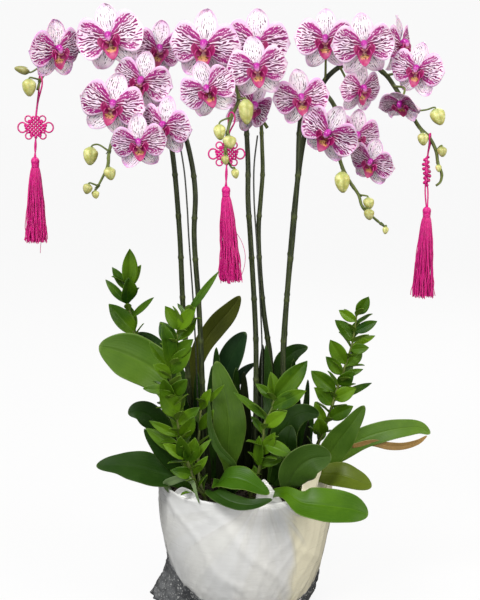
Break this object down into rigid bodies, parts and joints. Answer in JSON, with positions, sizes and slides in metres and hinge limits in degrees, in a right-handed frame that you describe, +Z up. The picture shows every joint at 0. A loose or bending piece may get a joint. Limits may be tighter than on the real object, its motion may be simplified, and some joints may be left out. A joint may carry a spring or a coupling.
{
  "type": "potted moth orchid",
  "caption": "Moth orchid in a film-wrapped white pot, with arching spikes of spotted blooms over broad leaves and leafy stems, hung with silk tassels.",
  "frame": {"origin": "centre of the pot's underside, on the surface that it stands on", "axes": "+Z up, +X across the front to the right, +Y away from the front"},
  "size_m": [0.6241, 0.3121, 0.9036],
  "materials": {
    "petal": "satin",
    "stem": "satin",
    "orchid_leaf": "satin",
    "bright_leaf": "satin",
    "companion_leaf": "gloss",
    "silk": "satin",
    "wire": "satin",
    "glaze": "gloss",
    "bark": "matte",
    "clear_film": "gloss",
    "dark_film": "gloss"
  },
  "bodies": {
    "root": {"bloom_A1": "petal", "bloom_A2": "petal", "bloom_A3": "petal", "bloom_B1": "petal", "bloom_B2": "petal", "bloom_B3": "petal", "bloom_B4": "petal", "bloom_C1": "petal", "bloom_C2": "petal", "bloom_D1": "petal", "bloom_D2": "petal", "bloom_D3": "petal", "bloom_E1": "petal", "bloom_E2": "petal", "bloom_E3": "petal", "bloom_E4": "petal", "bloom_F1": "petal", "bloom_F2": "petal", "bloom_F3": "petal", "bloom_F4": "petal", "bloom_F5": "petal", "bloom_F6": "petal", "filler_centre": "companion_leaf", "filler_front": "companion_leaf", "filler_left": "companion_leaf", "filler_right": "companion_leaf", "foot_film": "dark_film", "growing_medium": "bark", "knot_centre": "silk", "knot_left": "silk", "knot_right": "silk", "leaf_back_rising": "orchid_leaf", "leaf_centre_back": "orchid_leaf", "leaf_centre_dark": "orchid_leaf", "leaf_centre_upright": "bright_leaf", "leaf_front_bright": "bright_leaf", "leaf_front_grey": "orchid_leaf", "leaf_left_back": "orchid_leaf", "leaf_left_broad": "bright_leaf", "leaf_left_round": "orchid_leaf", "leaf_pair_back": "orchid_leaf", "leaf_pair_front": "orchid_leaf", "leaf_pair_left": "orchid_leaf", "leaf_right_low": "orchid_leaf", "leaf_right_rising": "orchid_leaf", "leaf_right_torn": "bright_leaf", "pot": "glaze", "spike_A": "stem", "spike_B": "stem", "spike_C": "stem", "spike_D": "stem", "spike_E": "stem", "spike_F": "stem", "stretch_film": "clear_film", "support_centre": "wire", "support_left": "wire", "tassel_centre": "silk", "tassel_left": "silk", "tassel_right": "silk"}
  },
  "joints": []
}
